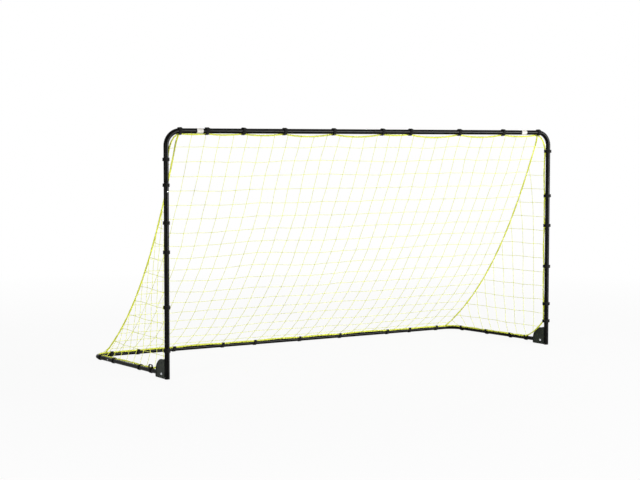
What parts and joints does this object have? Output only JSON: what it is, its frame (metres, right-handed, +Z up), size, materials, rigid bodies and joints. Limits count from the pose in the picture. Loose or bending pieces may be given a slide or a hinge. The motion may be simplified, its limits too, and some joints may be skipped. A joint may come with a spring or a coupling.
{
  "type": "folding soccer goal",
  "caption": "Folding soccer goal: round steel tube front frame, base frame hinged on plate brackets behind the posts with lock buttons, and a sagging knotted net strapped to the tubes.",
  "frame": {"origin": "middle of the goal's footprint, on the ground", "axes": "+X right along the crossbar as a player facing the mouth sees it, +Y from the mouth towards the back of the net, +Z up"},
  "size_m": [3.6722, 1.3443, 1.8341],
  "materials": {
    "black_powder_coat": "satin near-black powder coat on steel tube",
    "dark_grey_coated_plate": "satin dark grey coating on pressed steel plate",
    "bright_zinc": "bright zinc plating",
    "spring_steel": "oiled spring steel strip",
    "black_polyethylene": "matt black moulded plastic",
    "white_vinyl_label": "plain white vinyl",
    "yellow_hem_rope": "fluorescent yellow braided rope and hook-and-loop webbing",
    "yellow_net_twine": "fluorescent yellow knotted polyethylene twine"
  },
  "bodies": {
    "front_frame": {"left_post": "black_powder_coat", "right_post": "black_powder_coat", "left_top_corner": "black_powder_coat", "right_top_corner": "black_powder_coat", "left_crossbar": "black_powder_coat", "right_crossbar": "black_powder_coat", "left_hinge_plate_outer": "dark_grey_coated_plate", "left_hinge_plate_inner": "dark_grey_coated_plate", "right_hinge_plate_outer": "dark_grey_coated_plate", "right_hinge_plate_inner": "dark_grey_coated_plate", "left_pivot_bolt": "bright_zinc", "left_pivot_nut": "bright_zinc", "right_pivot_bolt": "bright_zinc", "right_pivot_nut": "bright_zinc", "left_foot_plug": "black_polyethylene", "right_foot_plug": "black_polyethylene", "left_label_band": "white_vinyl_label", "right_label_band": "white_vinyl_label", "crossbar_hem_and_straps": "yellow_hem_rope", "left_post_hem_and_straps": "yellow_hem_rope", "right_post_hem_and_straps": "yellow_hem_rope", "back_net": "yellow_net_twine", "left_side_net": "yellow_net_twine", "right_side_net": "yellow_net_twine", "left_seam_rope": "yellow_hem_rope", "right_seam_rope": "yellow_hem_rope"},
    "base_frame": {"left_side_tube": "black_powder_coat", "right_side_tube": "black_powder_coat", "left_rear_corner": "black_powder_coat", "right_rear_corner": "black_powder_coat", "left_rear_rail": "black_powder_coat", "right_rear_rail": "black_powder_coat", "left_side_tube_plug": "black_polyethylene", "right_side_tube_plug": "black_polyethylene", "left_lock_spring": "spring_steel", "right_lock_spring": "spring_steel", "rear_rail_hem_and_straps": "yellow_hem_rope", "left_side_hem_and_straps": "yellow_hem_rope", "right_side_hem_and_straps": "yellow_hem_rope"},
    "left_post_button": {"left_post_button": "bright_zinc"},
    "right_post_button": {"right_post_button": "bright_zinc"},
    "left_crossbar_button": {"left_crossbar_button": "bright_zinc"},
    "right_crossbar_button": {"right_crossbar_button": "bright_zinc"},
    "centre_crossbar_button": {"centre_crossbar_button": "bright_zinc"},
    "left_side_button": {"left_side_button": "bright_zinc"},
    "right_side_button": {"right_side_button": "bright_zinc"},
    "left_rail_button": {"left_rail_button": "bright_zinc"},
    "right_rail_button": {"right_rail_button": "bright_zinc"},
    "centre_rail_button": {"centre_rail_button": "bright_zinc"},
    "left_lock_button_outer": {"left_lock_button_outer": "bright_zinc"},
    "left_lock_button_inner": {"left_lock_button_inner": "bright_zinc"},
    "right_lock_button_outer": {"right_lock_button_outer": "bright_zinc"},
    "right_lock_button_inner": {"right_lock_button_inner": "bright_zinc"}
  },
  "joints": [
    {"name": "base_fold", "type": "hinge", "parent": "front_frame", "child": "base_frame", "pos_m": [0, -0.59638, 0.036], "axis": [1, 0, 0], "range_deg": [0, 90.7], "deforming": ["back_net", "left_side_net", "right_side_net", "left_seam_rope", "right_seam_rope"]},
    {"name": "left_post_button_press", "type": "slide", "parent": "front_frame", "child": "left_post_button", "axis": [0, 1, 0], "range_m": [0, 0.003], "stiffness_N_per_m": 2000},
    {"name": "right_post_button_press", "type": "slide", "parent": "front_frame", "child": "right_post_button", "axis": [0, -1, 0], "range_m": [0, 0.003], "stiffness_N_per_m": 2000},
    {"name": "left_crossbar_button_press", "type": "slide", "parent": "front_frame", "child": "left_crossbar_button", "axis": [0, 0, -1], "range_m": [0, 0.003], "stiffness_N_per_m": 2000},
    {"name": "right_crossbar_button_press", "type": "slide", "parent": "front_frame", "child": "right_crossbar_button", "axis": [0, 0, -1], "range_m": [0, 0.003], "stiffness_N_per_m": 2000},
    {"name": "centre_crossbar_button_press", "type": "slide", "parent": "front_frame", "child": "centre_crossbar_button", "axis": [0, 0, -1], "range_m": [0, 0.003], "stiffness_N_per_m": 2000},
    {"name": "left_side_button_press", "type": "slide", "parent": "base_frame", "child": "left_side_button", "axis": [1, 0, 0], "range_m": [0, 0.003], "stiffness_N_per_m": 2000},
    {"name": "right_side_button_press", "type": "slide", "parent": "base_frame", "child": "right_side_button", "axis": [-1, 0, 0], "range_m": [0, 0.003], "stiffness_N_per_m": 2000},
    {"name": "left_rail_button_press", "type": "slide", "parent": "base_frame", "child": "left_rail_button", "axis": [0, -0.9999, 0.0123], "range_m": [0, 0.003], "stiffness_N_per_m": 2000},
    {"name": "right_rail_button_press", "type": "slide", "parent": "base_frame", "child": "right_rail_button", "axis": [0, -0.9999, 0.0123], "range_m": [0, 0.003], "stiffness_N_per_m": 2000},
    {"name": "centre_rail_button_press", "type": "slide", "parent": "base_frame", "child": "centre_rail_button", "axis": [0, -0.9999, 0.0123], "range_m": [0, 0.003], "stiffness_N_per_m": 2000},
    {"name": "left_outer_lock", "type": "slide", "parent": "base_frame", "child": "left_lock_button_outer", "axis": [-1, 0, 0], "range_m": [0, 0.0047], "deforming": ["left_lock_spring"]},
    {"name": "left_inner_lock", "type": "slide", "parent": "base_frame", "child": "left_lock_button_inner", "axis": [1, 0, 0], "range_m": [0, 0.0047], "deforming": ["left_lock_spring"]},
    {"name": "right_outer_lock", "type": "slide", "parent": "base_frame", "child": "right_lock_button_outer", "axis": [1, 0, 0], "range_m": [0, 0.0047], "deforming": ["right_lock_spring"]},
    {"name": "right_inner_lock", "type": "slide", "parent": "base_frame", "child": "right_lock_button_inner", "axis": [-1, 0, 0], "range_m": [0, 0.0047], "deforming": ["right_lock_spring"]}
  ]
}
